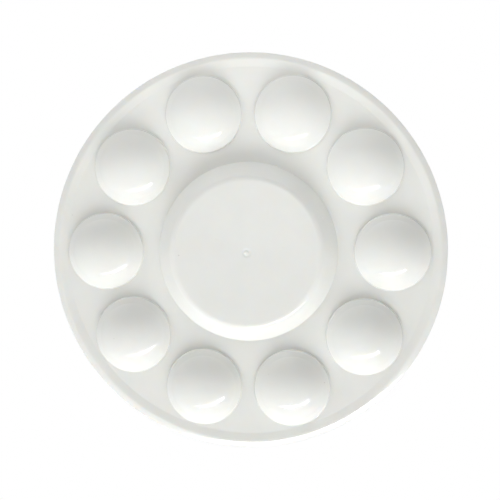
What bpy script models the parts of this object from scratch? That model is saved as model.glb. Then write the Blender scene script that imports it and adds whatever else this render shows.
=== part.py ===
"""Round mixing palette: one injection-moulded tray with ten wells around a central dish.

The tray stands wells up. Its well bottoms and the flat dish floor all touch z = 0, and the
origin is the centre of that resting plane. Profiles are lists of (radius, height) points.
"""

import math

import bmesh
import bpy

# Driving dimensions, in metres and degrees.
OUTER_RADIUS = 0.0850
WELL_COUNT = 10
WELL_CIRCLE_RADIUS = 0.0617
UNDERSIDE_HEIGHT = 0.0090
DECK_THICKNESS = 0.0013
WALL_THICKNESS = 0.0012

WELL_BASE_RADIUS = 0.0164
WELL_STEP_HEIGHT = 0.0013
WELL_STEP_SLOPE = 80.0
WELL_COLLAR_WIDTH = 0.0022
WELL_COLLAR_SLOPE = 38.0
WELL_LIP_RADIUS = 0.0012

DISH_BASE_RADIUS = 0.0385
DISH_FOOT_RADIUS = 0.0320
DISH_FLOOR_FILLET = 0.0038
DISH_LIP_RADIUS = 0.0012

RIM_SWELL_DROP = 0.0005
RIM_INNER_WIDTH = 0.0030
RIM_CREST_WIDTH = 0.0007
RIM_OUTER_WIDTH = 0.0024
RIM_EDGE_THICKNESS = 0.00095
RIM_SHOULDER_RADIUS = 0.0005
RIM_EDGE_FILLET = 0.0002
RIM_CREST_RADIUS = 0.0020
RIM_FOOT_RADIUS = 0.0035

# Facets around each round form, and along the arcs of its profile.
WELL_SEGMENTS = 28
DISH_SEGMENTS = 60
RIM_SEGMENTS = 80
BOWL_STEPS = 4
LIP_STEPS = 2
FILLET_STEPS = 3
SHOULDER_STEPS = 3
CREST_STEPS = 1

# Edges sharper than this angle, in degrees, are shaded sharp.
SHARP_ANGLE = 32.0
# A profile point nearer to the axis than this is on it.
ON_AXIS = 1e-6

NODE_NAME = "palette_body"
DECK_HEIGHT = UNDERSIDE_HEIGHT + DECK_THICKNESS


def remove_scene_objects():
    """Starts from an empty scene."""
    for old in list(bpy.data.objects):
        bpy.data.objects.remove(old)


def arc(centre, radius, start, end, steps):
    """Points of an arc from start to end, both included; degrees, 0 along +r and 90 along +z."""
    points = []
    for i in range(steps + 1):
        angle = math.radians(start + (end - start) * i / steps)
        points.append((centre[0] + radius * math.cos(angle), centre[1] + radius * math.sin(angle)))
    return points


def corner_arc(corner, before, after, radius, steps):
    """Rounds a corner between two unit directions, the way in and the way out."""
    turn = before[0] * after[1] - before[1] * after[0]
    side = math.copysign(1.0, turn)
    angle = math.acos(before[0] * after[0] + before[1] * after[1])
    setback = radius * math.tan(angle / 2)
    first = (corner[0] - before[0] * setback, corner[1] - before[1] * setback)
    centre = (first[0] - side * before[1] * radius, first[1] + side * before[0] * radius)
    start = math.degrees(math.atan2(first[1] - centre[1], first[0] - centre[0]))
    return arc(centre, radius, start, start + side * math.degrees(angle), steps)


def heading(start, end):
    """Unit direction from one profile point to another."""
    length = math.dist(start, end)
    return ((end[0] - start[0]) / length, (end[1] - start[1]) / length)


def direction(slope_degrees):
    """Unit direction of a wall that runs inward and down at a slope below horizontal."""
    slope = math.radians(slope_degrees)
    return (-math.cos(slope), -math.sin(slope))


def line_at_height(point, heading, height):
    """The point where a line through a point reaches a height."""
    along = (height - point[1]) / heading[1]
    return (point[0] + heading[0] * along, height)


def offset_point(point, heading, thickness):
    """A wall point moved across the wall, to its inner face."""
    return (point[0] + heading[1] * thickness, point[1] - heading[0] * thickness)


def lines_cross(point, heading, other_point, other_heading):
    """The point where two lines of a profile cross."""
    gap = (other_point[0] - point[0], other_point[1] - point[1])
    cross = heading[0] * other_heading[1] - heading[1] * other_heading[0]
    along = (gap[0] * other_heading[1] - gap[1] * other_heading[0]) / cross
    return (point[0] + heading[0] * along, point[1] + heading[1] * along)


def well_form():
    """Corners of a well's underside, and the radius of its spherical bowl."""
    base = (WELL_BASE_RADIUS, UNDERSIDE_HEIGHT)
    step_foot = line_at_height(base, direction(WELL_STEP_SLOPE), UNDERSIDE_HEIGHT - WELL_STEP_HEIGHT)
    collar = direction(WELL_COLLAR_SLOPE)
    along = WELL_COLLAR_WIDTH / -collar[0]
    bowl_edge = (step_foot[0] + collar[0] * along, step_foot[1] + collar[1] * along)
    sphere = (bowl_edge[0] ** 2 + bowl_edge[1] ** 2) / (2 * bowl_edge[1])
    return base, step_foot, bowl_edge, sphere


def well_outer_profile():
    """Underside of a well: a short step, a sloping collar, then a bowl down to the resting plane."""
    base, step_foot, bowl_edge, sphere = well_form()
    start = math.degrees(math.asin(bowl_edge[0] / sphere)) - 90
    return [base, step_foot] + arc((0, sphere), sphere, start, -90, BOWL_STEPS)


def well_inner_profile():
    """Top side of a well: rounded lip, step, collar and bowl, one wall thickness inside."""
    base, step_foot, _, sphere = well_form()
    step = direction(WELL_STEP_SLOPE)
    collar = direction(WELL_COLLAR_SLOPE)
    step_wall = offset_point(base, step, WALL_THICKNESS)
    collar_wall = offset_point(step_foot, collar, WALL_THICKNESS)
    lip_corner = line_at_height(step_wall, step, DECK_HEIGHT)
    lip = corner_arc(lip_corner, (-1, 0), step, WELL_LIP_RADIUS, LIP_STEPS)
    shelf = lines_cross(step_wall, step, collar_wall, collar)
    inner = sphere - WALL_THICKNESS
    # The collar's line meets the inner sphere: solve |p + t h - c| = inner for the first crossing.
    gap = (shelf[0], shelf[1] - sphere)
    half_b = gap[0] * collar[0] + gap[1] * collar[1]
    rest = gap[0] ** 2 + gap[1] ** 2 - inner**2
    along = -half_b - math.sqrt(half_b**2 - rest)
    meet = (shelf[0] + collar[0] * along, shelf[1] + collar[1] * along)
    edge = math.degrees(math.atan2(meet[1] - sphere, meet[0]))
    return lip + [shelf] + arc((0, sphere), inner, edge, -90, BOWL_STEPS)


def dish_profile(base, foot, lip_radius, fillet, floor):
    """One face of the dish from its edge inward: lip if there is one, slope and floor fillet."""
    length = math.dist(base, foot)
    heading = ((foot[0] - base[0]) / length, (foot[1] - base[1]) / length)
    if lip_radius:
        edge = corner_arc(base, (-1, 0), heading, lip_radius, LIP_STEPS)
    else:
        edge = [base]
    return edge + corner_arc((foot[0], floor), heading, (-1, 0), fillet, FILLET_STEPS)


def dish_faces():
    """Underside and top profiles of the dish, a wall thickness apart."""
    base = (DISH_BASE_RADIUS, UNDERSIDE_HEIGHT)
    foot = (DISH_FOOT_RADIUS, 0.0)
    outer = dish_profile(base, foot, 0, DISH_FLOOR_FILLET, 0.0)
    length = math.dist(base, foot)
    heading = ((foot[0] - base[0]) / length, (foot[1] - base[1]) / length)
    wall = offset_point(base, heading, WALL_THICKNESS)
    top = line_at_height(wall, heading, DECK_HEIGHT)
    bottom = line_at_height(wall, heading, WALL_THICKNESS)
    inner_fillet = DISH_FLOOR_FILLET - WALL_THICKNESS
    inner = dish_profile(top, bottom, DISH_LIP_RADIUS, inner_fillet, WALL_THICKNESS)
    return outer, inner


def rim_profile():
    """Edge of the tray, from the top deck round its thin edge and over a low swelling underneath."""
    crest_height = UNDERSIDE_HEIGHT - RIM_SWELL_DROP
    shoulder = (OUTER_RADIUS, DECK_HEIGHT)
    edge = (OUTER_RADIUS, DECK_HEIGHT - RIM_EDGE_THICKNESS)
    outer_crest = (OUTER_RADIUS - RIM_OUTER_WIDTH, crest_height)
    inner_crest = (outer_crest[0] - RIM_CREST_WIDTH, crest_height)
    foot = (inner_crest[0] - RIM_INNER_WIDTH, UNDERSIDE_HEIGHT)
    down = heading(edge, outer_crest)
    up = heading(inner_crest, foot)
    profile = corner_arc(shoulder, (1, 0), (0, -1), RIM_SHOULDER_RADIUS, SHOULDER_STEPS)
    profile += corner_arc(edge, (0, -1), down, RIM_EDGE_FILLET, 1)
    profile += corner_arc(outer_crest, down, (-1, 0), RIM_CREST_RADIUS, CREST_STEPS)
    profile += corner_arc(inner_crest, (-1, 0), up, RIM_CREST_RADIUS, CREST_STEPS)
    profile += corner_arc(foot, up, (-1, 0), RIM_FOOT_RADIUS, 1)
    return profile


def add_rings(mesh, centre, profile, segments):
    """Turns a profile about a vertical axis and returns its rings of vertices, in order."""
    rings = []
    for radius, height in profile:
        if radius < ON_AXIS:
            rings.append([mesh.verts.new((centre[0], centre[1], height))])
            continue
        ring = []
        for i in range(segments):
            turn = 2 * math.pi * i / segments
            x = centre[0] + radius * math.cos(turn)
            y = centre[1] + radius * math.sin(turn)
            ring.append(mesh.verts.new((x, y, height)))
        rings.append(ring)
    for outer, inner in zip(rings, rings[1:]):
        count = len(outer)
        for i in range(count):
            j = (i + 1) % count
            if len(inner) == 1:
                mesh.faces.new((outer[i], outer[j], inner[0]))
            else:
                mesh.faces.new((outer[i], outer[j], inner[j], inner[i]))
    return rings


def fill_sheet(mesh, loops):
    """Fills the flat sheet that lies inside the first loop and outside the others."""
    edges = []
    for loop in loops:
        for a, b in zip(loop, loop[1:] + loop[:1]):
            edges.append(mesh.edges.get((a, b)))
    bmesh.ops.triangle_fill(mesh, edges=edges, use_beauty=True, normal=(0, 0, 1))


def well_centres():
    """Centres of the wells, evenly spaced from +X."""
    centres = []
    for i in range(WELL_COUNT):
        turn = 2 * math.pi * i / WELL_COUNT
        centres.append((WELL_CIRCLE_RADIUS * math.cos(turn), WELL_CIRCLE_RADIUS * math.sin(turn)))
    return centres


def build_body_mesh():
    """Both faces of the moulding as turned forms, joined by the flat deck and the rim."""
    mesh = bmesh.new()
    rim = add_rings(mesh, (0, 0), rim_profile(), RIM_SEGMENTS)
    top_loops = [rim[0]]
    underside_loops = [rim[-1]]
    dish_outer, dish_inner = dish_faces()
    for profile, loops in ((dish_outer, underside_loops), (dish_inner, top_loops)):
        rings = add_rings(mesh, (0, 0), profile, DISH_SEGMENTS)
        mesh.faces.new(rings[-1])
        loops.append(rings[0])
    outer = well_outer_profile()
    inner = well_inner_profile()
    for centre in well_centres():
        underside_loops.append(add_rings(mesh, centre, outer, WELL_SEGMENTS)[0])
        top_loops.append(add_rings(mesh, centre, inner, WELL_SEGMENTS)[0])
    fill_sheet(mesh, top_loops)
    fill_sheet(mesh, underside_loops)
    bmesh.ops.recalc_face_normals(mesh, faces=mesh.faces)
    return mesh


def white_plastic():
    """Glossy white moulded plastic."""
    material = bpy.data.materials.new("white_plastic")
    material.use_nodes = True
    shader = material.node_tree.nodes["Principled BSDF"]
    shader.inputs["Base Color"].default_value = (0.83, 0.83, 0.80, 1.0)
    shader.inputs["Roughness"].default_value = 0.25
    shader.inputs["Metallic"].default_value = 0.0
    return material


def build_palette():
    """The one moulded piece, as one object."""
    data = bpy.data.meshes.new(NODE_NAME)
    mesh = build_body_mesh()
    mesh.to_mesh(data)
    mesh.free()
    data.shade_smooth()
    data.set_sharp_from_angle(angle=math.radians(SHARP_ANGLE))
    data.materials.append(white_plastic())
    palette = bpy.data.objects.new(NODE_NAME, data)
    bpy.context.scene.collection.objects.link(palette)
    return palette


remove_scene_objects()
build_palette()
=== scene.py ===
import math

import bmesh
import bpy
from mathutils import Matrix, Vector


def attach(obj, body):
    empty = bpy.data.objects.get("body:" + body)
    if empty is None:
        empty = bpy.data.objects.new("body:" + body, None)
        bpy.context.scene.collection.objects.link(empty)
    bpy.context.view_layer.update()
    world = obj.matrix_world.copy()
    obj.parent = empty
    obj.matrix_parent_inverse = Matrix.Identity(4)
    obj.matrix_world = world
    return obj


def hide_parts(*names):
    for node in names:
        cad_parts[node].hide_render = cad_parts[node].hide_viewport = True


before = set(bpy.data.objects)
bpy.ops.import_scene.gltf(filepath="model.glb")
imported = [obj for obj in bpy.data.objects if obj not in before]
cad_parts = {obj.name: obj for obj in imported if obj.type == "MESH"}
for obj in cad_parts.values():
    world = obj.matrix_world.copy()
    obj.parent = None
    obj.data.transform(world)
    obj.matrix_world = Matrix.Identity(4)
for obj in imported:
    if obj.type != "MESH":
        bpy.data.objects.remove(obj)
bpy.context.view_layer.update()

# The moulding, in metres and degrees. These values are the same as the CAD part's.
OUTER_RADIUS = 0.0850
WELL_COUNT = 10
WELL_CIRCLE_RADIUS = 0.0617
UNDERSIDE_HEIGHT = 0.0090
DECK_THICKNESS = 0.0013
WALL_THICKNESS = 0.0012
DECK_HEIGHT = UNDERSIDE_HEIGHT + DECK_THICKNESS

WELL_BASE_RADIUS = 0.0164
WELL_STEP_HEIGHT = 0.0013
WELL_STEP_SLOPE = 80.0
WELL_COLLAR_WIDTH = 0.0022
WELL_COLLAR_SLOPE = 38.0
WELL_LIP_RADIUS = 0.0012

DISH_BASE_RADIUS = 0.0385
DISH_FOOT_RADIUS = 0.0320
DISH_FLOOR_FILLET = 0.0038
DISH_LIP_RADIUS = 0.0012

RIM_SWELL_DROP = 0.0005
RIM_INNER_WIDTH = 0.0030
RIM_CREST_WIDTH = 0.0007
RIM_OUTER_WIDTH = 0.0024
RIM_EDGE_THICKNESS = 0.00095
RIM_SHOULDER_RADIUS = 0.0005
RIM_EDGE_FILLET = 0.0002
RIM_CREST_RADIUS = 0.0020
RIM_FOOT_RADIUS = 0.0035

# Fine edges, and the mark left where the plastic came in.
EDGE_FILLET = 0.00025
STEP_FILLET = 0.0005
GATE_RECESS_RADIUS = 0.0021
GATE_RECESS_DEPTH = 0.0002
GATE_RECESS_SIDE = 0.0006
GATE_NUB_RADIUS = 0.0007
GATE_NUB_HEIGHT = 0.0002
GATE_NUB_SIDE = 0.0003
GATE_MARGIN = 0.0005
GATE_FILLET = 0.0002

# Shallow dents in the underside of the dish floor: place and radius of each.
DIMPLES = ((-0.0125, -0.0059, 0.0008), (0.0154, -0.0025, 0.0011))
DIMPLE_DEPTH = 0.00012

# Vertices round each turned form.
WELL_SEGMENTS = 96
DISH_SEGMENTS = 192
RIM_SEGMENTS = 256
GATE_SEGMENTS = 48
DIMPLE_SEGMENTS = 32
SHARP_EDGE_ANGLE = 40.0

# Surface of the plastic: heights in metres, noise scales in cells to the metre, linear colours.
SINK_WAVE_SCALE = 55.0
SINK_WAVE_HEIGHT = 0.0001
PEEL_SCALE = 620.0
PEEL_HEIGHT = 0.0000022
GLOSS_SCALE = 90.0
ROUGHNESS_RANGE = (0.11, 0.17)
CLOUD_SCALE = 70.0
NOISE_RANGE = (0.3, 0.7)
PLASTIC_DARK = (0.845, 0.852, 0.822, 1.0)
PLASTIC_LIGHT = (0.865, 0.872, 0.845, 1.0)
TRANSLUCENCE = 0.6
TRANSLUCENCE_DEPTH = 0.0016
TRANSLUCENCE_TINT = (1.0, 0.85, 0.7)
PLASTIC_IOR = 1.5

# Hairline scratches: directions in degrees, and the part of the noise that makes a line or a patch.
SCRATCH_DIRECTIONS = (12.0, 71.0, 128.0)
SCRATCH_SCALE = 40.0
SCRATCH_STRETCH = (0.35, 34.0, 34.0)
SCRATCH_LINE = (0.715, 0.76)
SCRATCH_PATCH_SCALE = 38.0
SCRATCH_PATCH = (0.50, 0.62)
SCRATCH_DEPTH = 0.000004
SCRATCH_ROUGHNESS = 0.12

# Specks: radius in cells, share of the cells without one, and strength.
SPECK_SCALE = 210.0
SPECK_RADIUS = (0.05, 0.075)
SPECK_FREE_SHARE = (0.93, 0.94)
SPECK_STRENGTH = 0.35
SPECK_COLOUR = (0.45, 0.44, 0.42, 1.0)

# The pale floor, which glows evenly, and a painted soft shadow on it where the palette stands: the glow
# is dimmed near the palette.
FLOOR_HALF_SIZE = 1.5
FLOOR_DROP = 0.0001
FLOOR_COLOUR = (0.06, 0.06, 0.06, 1.0)
FLOOR_GLOW = 0.76
PAINTED_SHADOW_REACH = 0.06
PAINTED_SHADOW_SAMPLES = 16

# Soft lights below the palette: azimuth and elevation as in light_place, distance, diameter, watts.
UNDERSIDE_LIGHTS = (
    (270, 28, 1.0, 0.45, 5.20),
    (300, 28, 1.0, 0.45, 2.10),
    (300, 15, 1.0, 0.30, 0.36),
    (240, 28, 1.0, 0.45, 0.65),
    (180, 28, 1.0, 0.45, 1.35),
    (180, 48, 1.0, 0.45, 0.88),
    (90, 45, 0.22, 0.15, 0.117),
    (30, 45, 0.22, 0.15, 0.027),
)
DECK_MIDDLE = Vector((0.0, 0.0, UNDERSIDE_HEIGHT))

# Light from above, for the top side.
TOP_LIGHT_PLACE = Vector((-0.3, -0.4, 0.9))
TOP_LIGHT_SIZE = 0.8
TOP_LIGHT_POWER = 3.6

# Light from the surroundings: everywhere, and added toward the horizon.
AMBIENT = 0.132
HORIZON_LIGHT = 0.72
HORIZON_SHARPNESS = 2.0

# A thin lamp in a row of lengths. Its power is for the first length and falls along the row.
STRIP_START = Vector((0.235, 0.235, -0.171))
STRIP_END = Vector((-0.180, 0.450, -0.235))
STRIP_COUNT = 5
STRIP_THICKNESS = 0.011
STRIP_POWER = 0.27
STRIP_FADE = 0.75

# The camera below the palette: lens in millimetres, tilt away from straight below in degrees.
CAMERA_DISTANCE = 0.45
CAMERA_LENS = 75.4
CAMERA_SENSOR = 36.0
CAMERA_TILT = 5.5
CAMERA_TILT_AZIMUTH = 38.0
CAMERA_AIM = Vector((0.00084, -0.00073, UNDERSIDE_HEIGHT))


def arc(centre, radius, start, end, steps):
    """Points of an arc from start to end, both included; degrees, 0 along +r and 90 along +z."""
    points = []
    for i in range(steps + 1):
        angle = math.radians(start + (end - start) * i / steps)
        points.append((centre[0] + radius * math.cos(angle), centre[1] + radius * math.sin(angle)))
    return points


def unit(start, end):
    """Unit direction from one profile point to another."""
    length = math.dist(start, end)
    return ((end[0] - start[0]) / length, (end[1] - start[1]) / length)


def rounded(points, radii, steps=4):
    """A profile through corner points, each inner corner rounded to its own radius."""
    profile = [points[0]]
    for before, corner, after, radius in zip(points, points[1:], points[2:], radii):
        way_in = unit(before, corner)
        way_out = unit(corner, after)
        turn = way_in[0] * way_out[1] - way_in[1] * way_out[0]
        side = math.copysign(1.0, turn)
        angle = math.acos(max(-1.0, min(1.0, way_in[0] * way_out[0] + way_in[1] * way_out[1])))
        setback = radius * math.tan(angle / 2)
        first = (corner[0] - way_in[0] * setback, corner[1] - way_in[1] * setback)
        centre = (first[0] - side * way_in[1] * radius, first[1] + side * way_in[0] * radius)
        start = math.degrees(math.atan2(first[1] - centre[1], first[0] - centre[0]))
        profile += arc(centre, radius, start, start + side * math.degrees(angle), steps)
    profile.append(points[-1])
    return profile


def line_at_height(point, heading, height):
    """The point where a line through a point reaches a height."""
    along = (height - point[1]) / heading[1]
    return (point[0] + heading[0] * along, height)


def offset_point(point, heading, thickness):
    """A wall point moved across the wall, to its inner face."""
    return (point[0] + heading[1] * thickness, point[1] - heading[0] * thickness)


def direction(slope_degrees):
    """Unit direction of a wall that runs inward and down at a slope below horizontal."""
    slope = math.radians(slope_degrees)
    return (-math.cos(slope), -math.sin(slope))


def lines_cross(point, heading, other_point, other_heading):
    """The point where two lines of a profile cross."""
    gap = (other_point[0] - point[0], other_point[1] - point[1])
    cross = heading[0] * other_heading[1] - heading[1] * other_heading[0]
    along = (gap[0] * other_heading[1] - gap[1] * other_heading[0]) / cross
    return (point[0] + heading[0] * along, point[1] + heading[1] * along)


def well_profiles():
    """Underside and top profiles of a well, from its edge to its middle."""
    step = direction(WELL_STEP_SLOPE)
    collar = direction(WELL_COLLAR_SLOPE)
    base = (WELL_BASE_RADIUS, UNDERSIDE_HEIGHT)
    step_foot = line_at_height(base, step, UNDERSIDE_HEIGHT - WELL_STEP_HEIGHT)
    along = WELL_COLLAR_WIDTH / -collar[0]
    bowl_edge = (step_foot[0] + collar[0] * along, step_foot[1] + collar[1] * along)
    sphere = (bowl_edge[0] ** 2 + bowl_edge[1] ** 2) / (2 * bowl_edge[1])
    start = math.degrees(math.asin(bowl_edge[0] / sphere)) - 90
    bowl = arc((0, sphere), sphere, start, -90, 24)
    outside = (WELL_BASE_RADIUS + 2 * EDGE_FILLET, UNDERSIDE_HEIGHT)
    radii = (EDGE_FILLET, STEP_FILLET, EDGE_FILLET)
    underside = rounded([outside, base, step_foot, bowl_edge, bowl[1]], radii)[:-1] + bowl[1:]

    step_wall = offset_point(base, step, WALL_THICKNESS)
    collar_wall = offset_point(step_foot, collar, WALL_THICKNESS)
    lip = line_at_height(step_wall, step, DECK_HEIGHT)
    shelf = lines_cross(step_wall, step, collar_wall, collar)
    inner = sphere - WALL_THICKNESS
    gap = (shelf[0], shelf[1] - sphere)
    half_b = gap[0] * collar[0] + gap[1] * collar[1]
    along = -half_b - math.sqrt(half_b**2 - gap[0] ** 2 - gap[1] ** 2 + inner**2)
    meet = (shelf[0] + collar[0] * along, shelf[1] + collar[1] * along)
    bowl = arc((0, sphere), inner, math.degrees(math.atan2(meet[1] - sphere, meet[0])), -90, 24)
    outside = (lip[0] + WELL_LIP_RADIUS, DECK_HEIGHT)
    radii = (WELL_LIP_RADIUS, EDGE_FILLET, EDGE_FILLET)
    top = rounded([outside, lip, shelf, meet, bowl[1]], radii, 6)[:-1] + bowl[1:]
    return underside, top


def dish_profiles():
    """Underside and top profiles of the dish, from its edge to the start of its flat floor."""
    base = (DISH_BASE_RADIUS, UNDERSIDE_HEIGHT)
    foot = (DISH_FOOT_RADIUS, 0.0)
    heading = unit(base, foot)
    floor_edge = DISH_FOOT_RADIUS - 2 * DISH_FLOOR_FILLET
    outside = (DISH_BASE_RADIUS + 2 * EDGE_FILLET, UNDERSIDE_HEIGHT)
    radii = (EDGE_FILLET, DISH_FLOOR_FILLET)
    underside = rounded([outside, base, foot, (floor_edge, 0.0)], radii, 10)
    wall = offset_point(base, heading, WALL_THICKNESS)
    lip = line_at_height(wall, heading, DECK_HEIGHT)
    bottom = line_at_height(wall, heading, WALL_THICKNESS)
    outside = (lip[0] + 0.6 * DISH_LIP_RADIUS, DECK_HEIGHT)
    radii = (DISH_LIP_RADIUS, DISH_FLOOR_FILLET - WALL_THICKNESS)
    top = rounded([outside, lip, bottom, (floor_edge, WALL_THICKNESS)], radii, 10)
    return underside, top


def rim_profile():
    """Edge of the tray, from the top deck round its thin edge and over a low swelling underneath."""
    outer_crest = OUTER_RADIUS - RIM_OUTER_WIDTH
    inner_crest = outer_crest - RIM_CREST_WIDTH
    foot = inner_crest - RIM_INNER_WIDTH
    corners = [
        (OUTER_RADIUS - 2 * RIM_SHOULDER_RADIUS, DECK_HEIGHT),
        (OUTER_RADIUS, DECK_HEIGHT),
        (OUTER_RADIUS, DECK_HEIGHT - RIM_EDGE_THICKNESS),
        (outer_crest, UNDERSIDE_HEIGHT - RIM_SWELL_DROP),
        (inner_crest, UNDERSIDE_HEIGHT - RIM_SWELL_DROP),
        (foot, UNDERSIDE_HEIGHT),
        (foot - 0.1 * RIM_FOOT_RADIUS, UNDERSIDE_HEIGHT),
    ]
    radii = (RIM_SHOULDER_RADIUS, RIM_EDGE_FILLET, RIM_CREST_RADIUS, RIM_CREST_RADIUS, RIM_FOOT_RADIUS)
    return rounded(corners, radii, 8)


def gate_profile():
    """Recess in the underside of the dish floor, with the stub left where the plastic came in."""
    depth = GATE_RECESS_DEPTH
    stub = depth - GATE_NUB_HEIGHT
    corners = [
        (GATE_RECESS_RADIUS + GATE_MARGIN, 0.0),
        (GATE_RECESS_RADIUS, 0.0),
        (GATE_RECESS_RADIUS - GATE_RECESS_SIDE, depth),
        (GATE_NUB_RADIUS + GATE_NUB_SIDE, depth),
        (GATE_NUB_RADIUS, stub),
        (0.0, stub),
    ]
    return rounded(corners, (GATE_FILLET, GATE_FILLET, GATE_FILLET / 2, GATE_FILLET), 3)


def dimple_profile(radius):
    """A shallow round dent of a given radius in the underside of the dish floor."""
    steps = 6
    points = []
    for i in range(steps + 1):
        share = i / steps
        points.append((radius * (1 - share), DIMPLE_DEPTH * 0.5 * (1 - math.cos(math.pi * share))))
    return points


def add_rings(mesh, centre, profile, segments):
    """Turns a profile about a vertical axis and returns its rings of vertices, in order."""
    rings = []
    for radius, height in profile:
        if radius < 1e-6:
            rings.append([mesh.verts.new((centre[0], centre[1], height))])
            continue
        ring = []
        for i in range(segments):
            turn = 2 * math.pi * i / segments
            x = centre[0] + radius * math.cos(turn)
            y = centre[1] + radius * math.sin(turn)
            ring.append(mesh.verts.new((x, y, height)))
        rings.append(ring)
    for outer, inner in zip(rings, rings[1:]):
        count = len(outer)
        for i in range(count):
            j = (i + 1) % count
            if len(inner) == 1:
                mesh.faces.new((outer[i], outer[j], inner[0]))
            else:
                mesh.faces.new((outer[i], outer[j], inner[j], inner[i]))
    return rings


def fill_sheet(mesh, loops):
    """Fills the flat sheet that lies inside the first loop and outside the others."""
    edges = []
    for loop in loops:
        for a, b in zip(loop, loop[1:] + loop[:1]):
            edges.append(mesh.edges.get((a, b)))
    bmesh.ops.triangle_fill(mesh, edges=edges, use_beauty=True, normal=(0, 0, 1))


def moulding_mesh():
    """Both faces of the moulding: turned forms joined by the flat deck and the dish floor."""
    mesh = bmesh.new()
    rim = add_rings(mesh, (0, 0), rim_profile(), RIM_SEGMENTS)
    top_loops = [rim[0]]
    underside_loops = [rim[-1]]
    dish_underside, dish_top = dish_profiles()
    under = add_rings(mesh, (0, 0), dish_underside, DISH_SEGMENTS)
    underside_loops.append(under[0])
    floor_loops = [under[-1], add_rings(mesh, (0, 0), gate_profile(), GATE_SEGMENTS)[0]]
    for x, y, radius in DIMPLES:
        floor_loops.append(add_rings(mesh, (x, y), dimple_profile(radius), DIMPLE_SEGMENTS)[0])
    fill_sheet(mesh, floor_loops)
    top = add_rings(mesh, (0, 0), dish_top, DISH_SEGMENTS)
    top_loops.append(top[0])
    fill_sheet(mesh, [top[-1]])
    well_underside, well_top = well_profiles()
    for i in range(WELL_COUNT):
        turn = 2 * math.pi * i / WELL_COUNT
        centre = (WELL_CIRCLE_RADIUS * math.cos(turn), WELL_CIRCLE_RADIUS * math.sin(turn))
        underside_loops.append(add_rings(mesh, centre, well_underside, WELL_SEGMENTS)[0])
        top_loops.append(add_rings(mesh, centre, well_top, WELL_SEGMENTS)[0])
    fill_sheet(mesh, top_loops)
    fill_sheet(mesh, underside_loops)
    bmesh.ops.recalc_face_normals(mesh, faces=mesh.faces)
    return mesh


def math_node(nodes, links, operation, *values):
    """A Math node on sockets or plain numbers, and its output."""
    node = nodes.new("ShaderNodeMath")
    node.operation = operation
    for socket, value in zip(node.inputs, values):
        if isinstance(value, bpy.types.NodeSocket):
            links.new(value, socket)
        else:
            socket.default_value = value
    return node.outputs["Value"]


def noise_node(nodes, links, where, scale, detail, stretch=None, turn=0.0):
    """Noise in the object's own space, stretched along one direction if asked."""
    node = nodes.new("ShaderNodeTexNoise")
    node.inputs["Scale"].default_value = scale
    node.inputs["Detail"].default_value = detail
    if stretch is None:
        links.new(where, node.inputs["Vector"])
        return node.outputs["Fac"]
    place = nodes.new("ShaderNodeMapping")
    place.inputs["Rotation"].default_value = (0.0, 0.0, math.radians(turn))
    place.inputs["Scale"].default_value = stretch
    links.new(where, place.inputs["Vector"])
    links.new(place.outputs["Vector"], node.inputs["Vector"])
    return node.outputs["Fac"]


def range_node(nodes, links, value, low, high, to_low, to_high):
    """Maps a range of one value to another range, held at both ends."""
    node = nodes.new("ShaderNodeMapRange")
    links.new(value, node.inputs["Value"])
    node.inputs["From Min"].default_value = low
    node.inputs["From Max"].default_value = high
    node.inputs["To Min"].default_value = to_low
    node.inputs["To Max"].default_value = to_high
    return node.outputs["Result"]


def scratch_mask(nodes, links, where):
    """Faint hairline scratches in three directions, broken into short lengths."""
    total = None
    for turn in SCRATCH_DIRECTIONS:
        lines = noise_node(nodes, links, where, SCRATCH_SCALE, 1.0, SCRATCH_STRETCH, turn)
        thin = range_node(nodes, links, lines, *SCRATCH_LINE, 0.0, 1.0)
        total = thin if total is None else math_node(nodes, links, "MAXIMUM", total, thin)
    patches = noise_node(nodes, links, where, SCRATCH_PATCH_SCALE, 1.0)
    kept = range_node(nodes, links, patches, *SCRATCH_PATCH, 0.0, 1.0)
    return math_node(nodes, links, "MULTIPLY", total, kept)


def surface_height(nodes, links, where, scratches):
    """Height of the surface texture in metres: sink waves, orange peel and scratches."""
    wave_noise = noise_node(nodes, links, where, SINK_WAVE_SCALE, 1.0)
    waves = math_node(nodes, links, "MULTIPLY", wave_noise, SINK_WAVE_HEIGHT)
    peel_noise = noise_node(nodes, links, where, PEEL_SCALE, 2.0)
    peel = math_node(nodes, links, "MULTIPLY", peel_noise, PEEL_HEIGHT)
    cuts = math_node(nodes, links, "MULTIPLY", scratches, -SCRATCH_DEPTH)
    unworn = math_node(nodes, links, "ADD", waves, peel)
    return math_node(nodes, links, "ADD", unworn, cuts)


def plastic_colour(nodes, links, where):
    """Warm white with faint clouding and sparse, tiny grey specks."""
    clouds = noise_node(nodes, links, where, CLOUD_SCALE, 3.0)
    cloud_mix = nodes.new("ShaderNodeMix")
    cloud_mix.data_type = "RGBA"
    cloud_mix.inputs["A"].default_value = PLASTIC_DARK
    cloud_mix.inputs["B"].default_value = PLASTIC_LIGHT
    links.new(range_node(nodes, links, clouds, *NOISE_RANGE, 0.0, 1.0), cloud_mix.inputs["Factor"])
    cells = nodes.new("ShaderNodeTexVoronoi")
    cells.inputs["Scale"].default_value = SPECK_SCALE
    links.new(where, cells.inputs["Vector"])
    dots = range_node(nodes, links, cells.outputs["Distance"], *SPECK_RADIUS, 1.0, 0.0)
    chosen = nodes.new("ShaderNodeSeparateColor")
    links.new(cells.outputs["Color"], chosen.inputs["Color"])
    rare = range_node(nodes, links, chosen.outputs["Red"], *SPECK_FREE_SHARE, 0.0, SPECK_STRENGTH)
    speck_mix = nodes.new("ShaderNodeMix")
    speck_mix.data_type = "RGBA"
    speck_mix.inputs["B"].default_value = SPECK_COLOUR
    links.new(cloud_mix.outputs["Result"], speck_mix.inputs["A"])
    links.new(math_node(nodes, links, "MULTIPLY", dots, rare), speck_mix.inputs["Factor"])
    return speck_mix.outputs["Result"]


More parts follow.
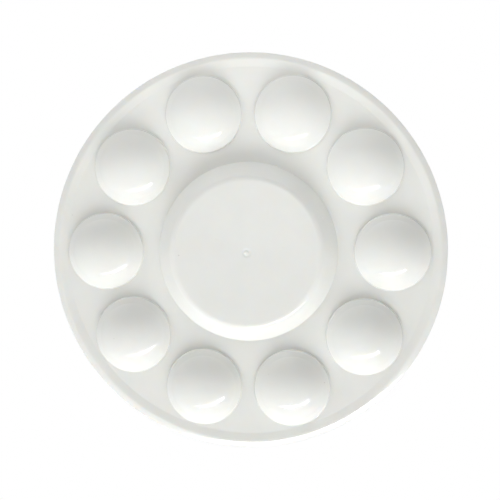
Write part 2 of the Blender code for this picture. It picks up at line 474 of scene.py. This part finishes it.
def white_plastic():
    """Glossy, slightly translucent white moulded plastic with fine marks of moulding and use."""
    material = bpy.data.materials.new("white_plastic")
    material.use_nodes = True
    nodes = material.node_tree.nodes
    links = material.node_tree.links
    shader = nodes["Principled BSDF"]
    shader.inputs["IOR"].default_value = PLASTIC_IOR
    shader.inputs["Subsurface Weight"].default_value = TRANSLUCENCE
    shader.inputs["Subsurface Radius"].default_value = TRANSLUCENCE_TINT
    shader.inputs["Subsurface Scale"].default_value = TRANSLUCENCE_DEPTH
    where = nodes.new("ShaderNodeTexCoord").outputs["Object"]
    scratches = scratch_mask(nodes, links, where)
    links.new(plastic_colour(nodes, links, where), shader.inputs["Base Color"])
    gloss_noise = noise_node(nodes, links, where, GLOSS_SCALE, 3.0)
    gloss = range_node(nodes, links, gloss_noise, *NOISE_RANGE, *ROUGHNESS_RANGE)
    worn = math_node(nodes, links, "MULTIPLY", scratches, SCRATCH_ROUGHNESS)
    links.new(math_node(nodes, links, "ADD", gloss, worn), shader.inputs["Roughness"])
    bump = nodes.new("ShaderNodeBump")
    bump.inputs["Strength"].default_value = 1.0
    bump.inputs["Distance"].default_value = 1.0
    links.new(surface_height(nodes, links, where, scratches), bump.inputs["Height"])
    links.new(bump.outputs["Normal"], shader.inputs["Normal"])
    return material


def make_palette():
    """The visible moulding, in place of the plain CAD solid."""
    data = bpy.data.meshes.new("palette_shell")
    mesh = moulding_mesh()
    mesh.to_mesh(data)
    mesh.free()
    data.shade_smooth()
    data.set_sharp_from_angle(angle=math.radians(SHARP_EDGE_ANGLE))
    data.materials.append(white_plastic())
    shell = bpy.data.objects.new("palette_shell", data)
    bpy.context.scene.collection.objects.link(shell)
    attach(shell, "root")
    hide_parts("palette_body")


def make_floor():
    """Pale glowing floor under the palette, seen only from above, with a painted shadow where the
    palette stands.
    """
    data = bpy.data.meshes.new("floor")
    corners = []
    for x, y in ((-1, -1), (1, -1), (1, 1), (-1, 1)):
        corners.append((x * FLOOR_HALF_SIZE, y * FLOOR_HALF_SIZE, -FLOOR_DROP))
    data.from_pydata(corners, [], [(0, 1, 2, 3)])
    material = bpy.data.materials.new("floor_pale")
    material.use_nodes = True
    nodes = material.node_tree.nodes
    links = material.node_tree.links
    shader = nodes["Principled BSDF"]
    shader.inputs["Base Color"].default_value = FLOOR_COLOUR
    shader.inputs["Roughness"].default_value = 1.0
    shader.inputs["Specular IOR Level"].default_value = 0.0
    shader.inputs["Emission Color"].default_value = (1.0, 1.0, 1.0, 1.0)
    # Painted shadow: ambient occlusion dims the floor's glow near the palette, in place of a shadow cast
    # by a lamp.
    painted_shadow = nodes.new("ShaderNodeAmbientOcclusion")
    painted_shadow.samples = PAINTED_SHADOW_SAMPLES
    painted_shadow.inputs["Distance"].default_value = PAINTED_SHADOW_REACH
    glow = math_node(nodes, links, "MULTIPLY", painted_shadow.outputs["AO"], FLOOR_GLOW)
    links.new(glow, shader.inputs["Emission Strength"])
    side = nodes.new("ShaderNodeNewGeometry")
    clear = nodes.new("ShaderNodeBsdfTransparent")
    mix = nodes.new("ShaderNodeMixShader")
    links.new(side.outputs["Backfacing"], mix.inputs["Fac"])
    links.new(shader.outputs["BSDF"], mix.inputs[1])
    links.new(clear.outputs["BSDF"], mix.inputs[2])
    links.new(mix.outputs["Shader"], nodes["Material Output"].inputs["Surface"])
    data.materials.append(material)
    floor = bpy.data.objects.new("floor", data)
    floor.visible_diffuse = False
    floor.visible_glossy = False
    floor.visible_transmission = False
    floor.visible_shadow = False
    bpy.context.scene.collection.objects.link(floor)


def make_world():
    """White surroundings, brightest level with the palette, and a pure white background."""
    world = bpy.data.worlds.new("studio")
    world.use_nodes = True
    nodes = world.node_tree.nodes
    links = world.node_tree.links
    soft = nodes["Background"]
    soft.inputs["Color"].default_value = (1.0, 1.0, 1.0, 1.0)
    where = nodes.new("ShaderNodeTexCoord")
    axes = nodes.new("ShaderNodeSeparateXYZ")
    links.new(where.outputs["Generated"], axes.inputs["Vector"])
    height = math_node(nodes, links, "ABSOLUTE", axes.outputs["Z"])
    level = math_node(nodes, links, "SUBTRACT", 1.0, height)
    band = math_node(nodes, links, "POWER", level, HORIZON_SHARPNESS)
    glow = math_node(nodes, links, "MULTIPLY", band, HORIZON_LIGHT)
    total = math_node(nodes, links, "ADD", glow, AMBIENT)
    links.new(total, soft.inputs["Strength"])
    seen = nodes.new("ShaderNodeBackground")
    seen.inputs["Color"].default_value = (1.0, 1.0, 1.0, 1.0)
    seen.inputs["Strength"].default_value = 1.0
    path = nodes.new("ShaderNodeLightPath")
    mix = nodes.new("ShaderNodeMixShader")
    links.new(path.outputs["Is Camera Ray"], mix.inputs["Fac"])
    links.new(soft.outputs["Background"], mix.inputs[1])
    links.new(seen.outputs["Background"], mix.inputs[2])
    links.new(mix.outputs["Shader"], nodes["World Output"].inputs["Surface"])
    bpy.context.scene.world = world


def light_place(azimuth, elevation, distance):
    """A place below the palette: azimuth from +X toward -Y and elevation under the deck, in degrees."""
    turn = math.radians(azimuth)
    rise = math.radians(elevation)
    reach = distance * math.cos(rise)
    offset = Vector((reach * math.cos(turn), -reach * math.sin(turn), -distance * math.sin(rise)))
    return offset + DECK_MIDDLE


def area_light(name, place, size, power, glossy=True):
    """A round soft light aimed at the middle of the palette."""
    data = bpy.data.lights.new(name, "AREA")
    data.shape = "DISK"
    data.size = size
    data.energy = power
    light = bpy.data.objects.new(name, data)
    light.location = place
    light.rotation_euler = (DECK_MIDDLE - place).to_track_quat("-Z", "Y").to_euler()
    light.visible_glossy = glossy
    light.visible_camera = False
    bpy.context.scene.collection.objects.link(light)


def strip_lights():
    """A long thin lamp that only shows as a streak in the glossy domes, fading toward one end."""
    whole = STRIP_END - STRIP_START
    for i in range(STRIP_COUNT):
        place = STRIP_START.lerp(STRIP_END, (i + 0.5) / STRIP_COUNT)
        data = bpy.data.lights.new("strip_%d" % (i + 1), "AREA")
        data.shape = "RECTANGLE"
        data.size = whole.length / STRIP_COUNT
        data.size_y = STRIP_THICKNESS
        data.energy = STRIP_POWER * (1 - STRIP_FADE * i / STRIP_COUNT)
        light = bpy.data.objects.new(data.name, data)
        light.location = place
        facing = (DECK_MIDDLE - place).normalized()
        along = whole.normalized()
        side = (along - facing * along.dot(facing)).normalized()
        up = side.cross(facing)
        light.rotation_euler = Matrix((side, up, -facing)).transposed().to_euler()
        light.visible_diffuse = False
        light.visible_camera = False
        bpy.context.scene.collection.objects.link(light)


def make_lights():
    """Soft light from below, mostly on the +Y side, a streak in the domes and a light from above."""
    for i, (azimuth, elevation, distance, size, power) in enumerate(UNDERSIDE_LIGHTS):
        place = light_place(azimuth, elevation, distance)
        area_light("soft_%d" % (i + 1), place, size, power, glossy=False)
    area_light("top", TOP_LIGHT_PLACE, TOP_LIGHT_SIZE, TOP_LIGHT_POWER)
    strip_lights()


def make_camera():
    """Nearly straight up at the underside, as when the palette lies face down and is seen from above."""
    data = bpy.data.cameras.new("camera")
    data.lens = CAMERA_LENS
    data.sensor_width = CAMERA_SENSOR
    data.clip_start = 0.01
    data.clip_end = 20.0
    camera = bpy.data.objects.new("camera", data)
    tilt = math.radians(90.0 - CAMERA_TILT)
    turn = math.radians(CAMERA_TILT_AZIMUTH)
    away = Vector((math.cos(tilt) * math.cos(turn), -math.cos(tilt) * math.sin(turn), -math.sin(tilt)))
    side = (-away).cross(Vector((0.0, -1.0, 0.0))).normalized()
    camera.location = CAMERA_AIM + away * CAMERA_DISTANCE
    camera.rotation_euler = Matrix((side, away.cross(side), away)).transposed().to_euler()
    bpy.context.scene.collection.objects.link(camera)
    bpy.context.scene.camera = camera


bpy.context.scene.view_settings.view_transform = "Standard"
make_palette()
make_floor()
make_world()
make_lights()
make_camera()
